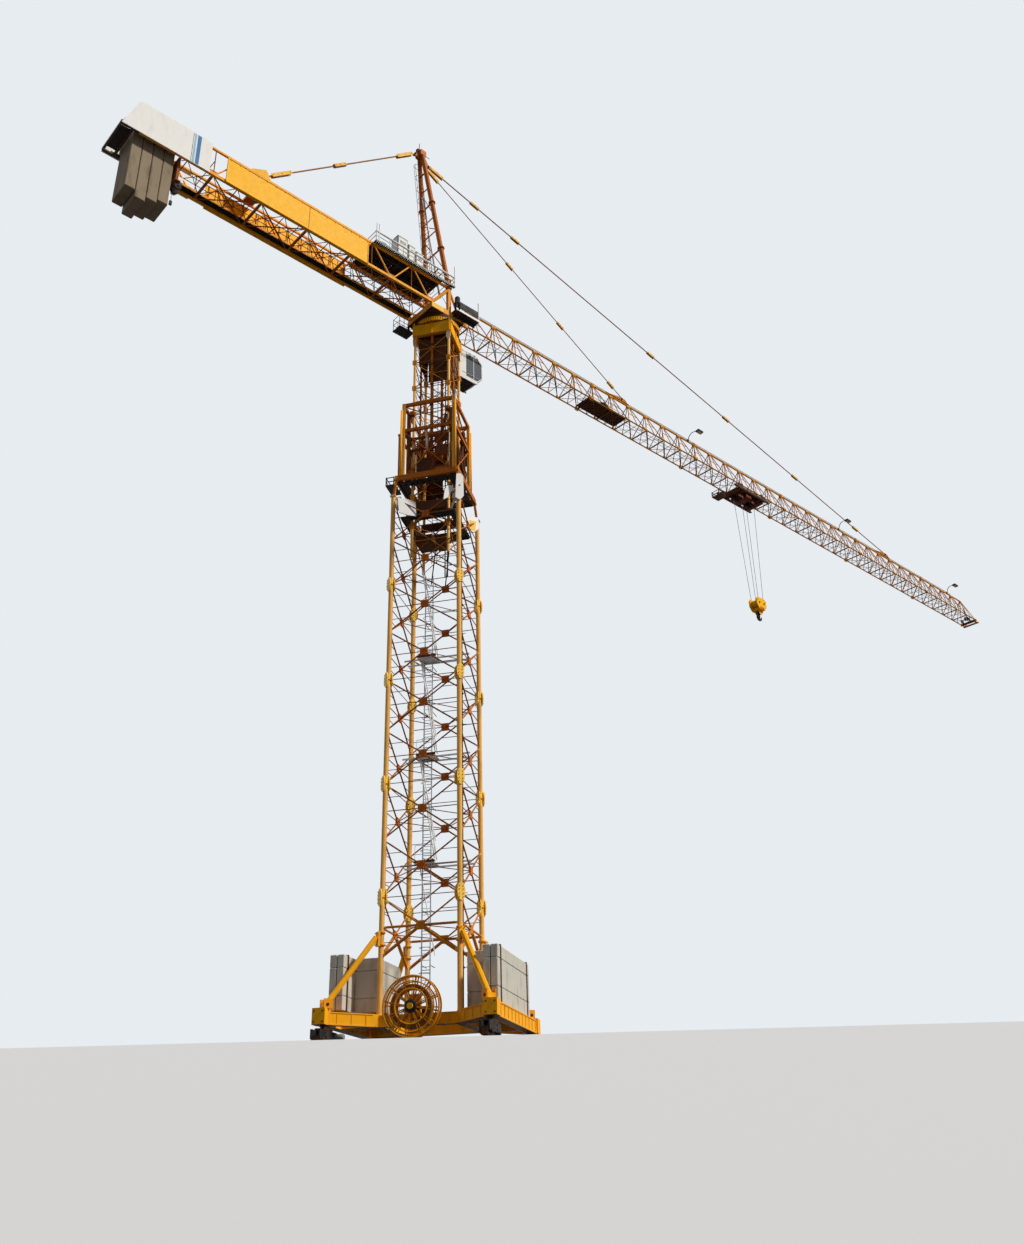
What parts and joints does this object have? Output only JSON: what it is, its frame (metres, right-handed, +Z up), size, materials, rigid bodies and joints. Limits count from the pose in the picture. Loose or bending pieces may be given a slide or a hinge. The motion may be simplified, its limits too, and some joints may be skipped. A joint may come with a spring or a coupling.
{
  "type": "tower crane, 1:10 scale model",
  "caption": "Hammerhead tower crane with a lattice mast, climbing cage, tied trolley jib, ballasted counter-jib and rail base, as a scale model.",
  "frame": {"origin": "on the mast's vertical axis, at the rail level that the wheels stand on", "axes": "+X along the jib towards its tip at rest, +Z up, +Y to the left of the jib seen from the cabin"},
  "size_m": [8.9199, 1.1884, 5.738],
  "materials": {
    "orange_frame": "glossy orange-yellow paint, chalked by weather",
    "red_orange_frame": "deeper orange paint, weathered",
    "yellow_panel": "smooth yellow paint",
    "white_panel": "white paint with two plain stripes",
    "dark_steel": "dark grey paint with dust and rust",
    "brown_steel": "dark brown rusty paint",
    "galvanised": "dull galvanised steel",
    "tan_concrete": "rough warm concrete",
    "grey_concrete": "rough light grey concrete",
    "black_rubber": "black cable sheath",
    "white_cabin": "white paint, slightly dirty",
    "grey_box": "light grey paint",
    "pale_rod": "pale worn yellow paint",
    "rope_steel": "greased steel rope"
  },
  "bodies": {
    "base": {"chassis_frame": "orange_frame", "rail_bogies": "dark_steel", "corner_struts": "orange_frame", "ballast_left": "grey_concrete", "ballast_right": "grey_concrete", "mast_section_1": "orange_frame", "mast_section_2": "orange_frame", "mast_section_3": "orange_frame", "mast_section_4": "orange_frame", "mast_section_5": "orange_frame", "mast_ladder": "brown_steel", "mast_cable": "black_rubber", "inner_mast": "orange_frame", "climbing_cage": "orange_frame", "cage_platform": "dark_steel", "mast_collar": "white_panel", "tower_head": "orange_frame"},
    "reel": {"cable_reel": "red_orange_frame"},
    "upper": {"slewing_platform": "orange_frame", "operator_cabin": "white_cabin", "cabin_walkway": "galvanised", "tower_top": "red_orange_frame", "counter_jib_frame": "red_orange_frame", "yellow_side_panels": "yellow_panel", "white_side_panels": "white_panel", "counterweight_1": "tan_concrete", "counterweight_2": "tan_concrete", "counterweight_3": "tan_concrete", "counterweight_4": "tan_concrete", "machinery_deck": "galvanised", "hoist_winch": "grey_box", "control_cabinets": "grey_box", "bottom_walkway": "dark_steel", "rear_tie": "pale_rod", "front_tie_outer": "pale_rod", "front_tie_inner": "pale_rod", "jib_inner": "orange_frame", "jib_middle": "orange_frame", "jib_outer": "orange_frame", "trolley_winch": "brown_steel", "jib_lamps": "dark_steel"},
    "trolley": {"trolley": "brown_steel", "hoist_ropes": "rope_steel"},
    "hook": {"hook_block": "red_orange_frame", "crane_hook": "dark_steel"}
  },
  "joints": [
    {"name": "slew", "type": "hinge", "parent": "base", "child": "upper", "pos_m": [0, 0, 4.209], "axis": [0, 0, 1], "continuous": true},
    {"name": "trolley_travel", "type": "slide", "parent": "upper", "child": "trolley", "axis": [1, 0, 0], "range_m": [-2.34, 3.38]},
    {"name": "hoist", "type": "slide", "parent": "trolley", "child": "hook", "axis": [0, 0, 1], "range_m": [-3.12, 0.8], "deforming": ["hoist_ropes"]},
    {"name": "reel_turn", "type": "hinge", "parent": "base", "child": "reel", "pos_m": [-0.34785, -0.29976, 0.136], "axis": [0.829, 0.5592, 0], "continuous": true}
  ]
}
